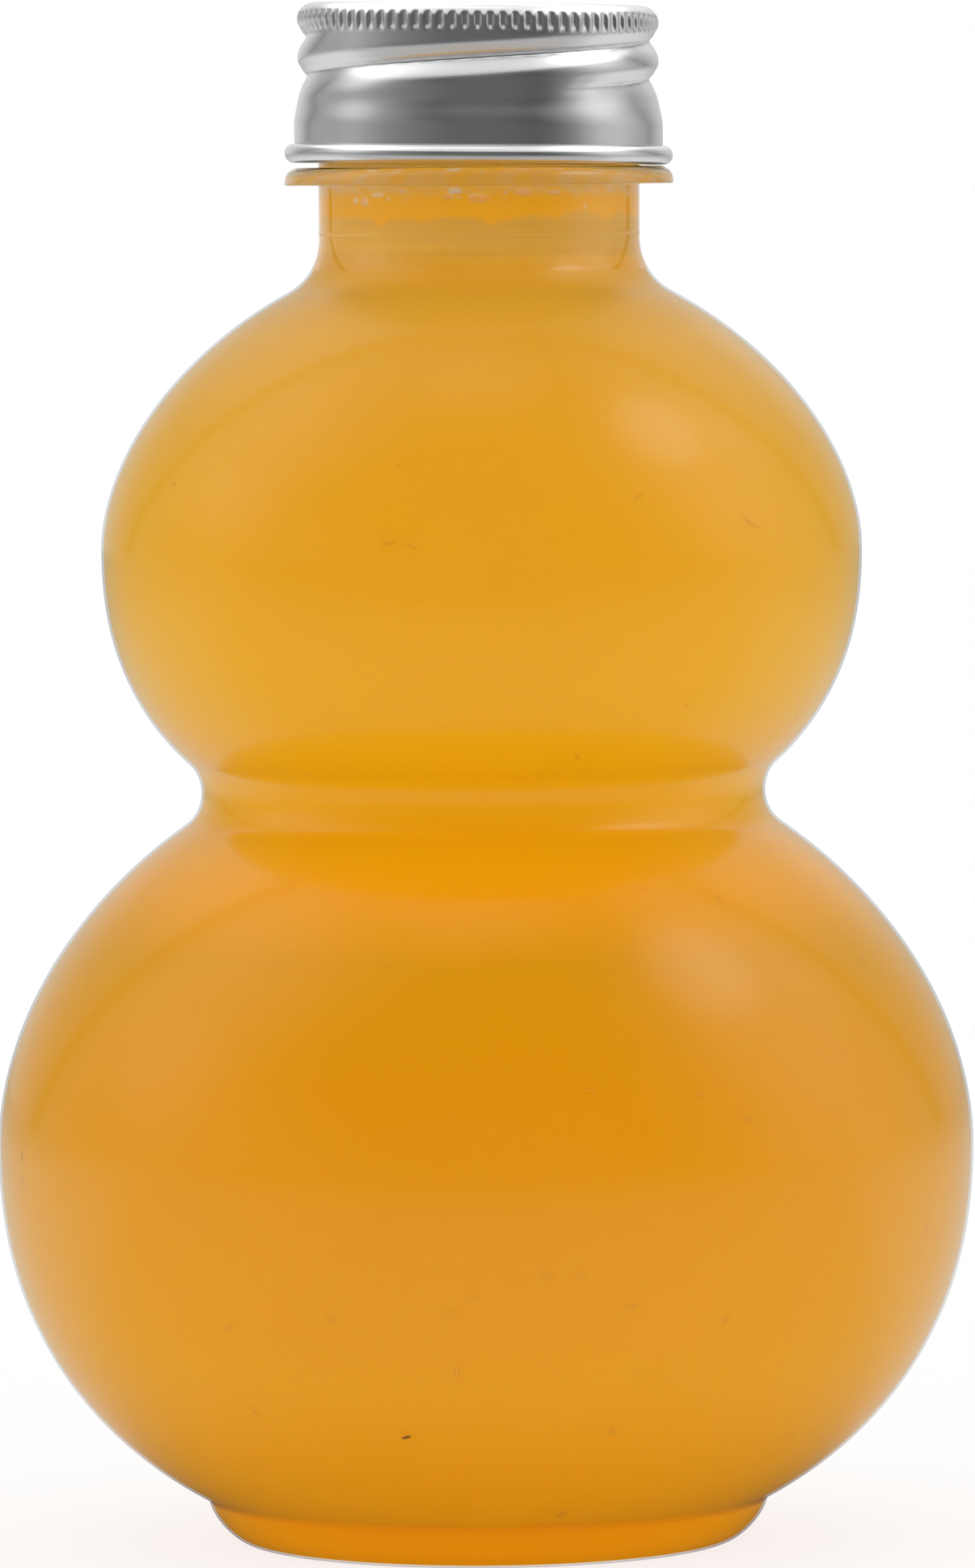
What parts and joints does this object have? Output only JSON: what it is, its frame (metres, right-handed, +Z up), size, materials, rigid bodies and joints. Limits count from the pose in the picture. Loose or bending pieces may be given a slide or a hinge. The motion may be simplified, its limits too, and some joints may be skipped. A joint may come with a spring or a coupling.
{
  "type": "gourd bottle",
  "caption": "Gourd-shaped clear plastic drink bottle with two round bulbs, a pinched waist and a rolled aluminium screw cap, filled with a cloudy orange drink.",
  "frame": {"origin": "centre of the standing ring, on the surface that the bottle stands on", "axes": "+Z up along the bottle's axis towards the cap, front towards -Y"},
  "size_m": [0.1052, 0.1052, 0.1655],
  "materials": {
    "clear_plastic": "clear, glossy, blow moulded",
    "orange_drink": "cloudy liquid",
    "satin_aluminium": "satin, rolled sheet",
    "white_foam": "closed-cell foam"
  },
  "bodies": {
    "bottle": {"bottle": "clear_plastic", "drink": "orange_drink"},
    "liner": {"cap_liner": "white_foam"},
    "cap": {"cap_shell": "satin_aluminium"}
  },
  "joints": [
    {"name": "cap_lift", "type": "slide", "parent": "bottle", "child": "liner", "axis": [0, 0, 1], "range_m": [0, 0.0165]},
    {"name": "cap_turn", "type": "hinge", "parent": "liner", "child": "cap", "pos_m": [0, 0, 0.14842], "axis": [0, 0, 1], "range_deg": [0, 720]}
  ],
  "couplings": [
    {"joint": "cap_lift", "follows": "cap_turn", "m_per_rad": 0.0013051}
  ]
}
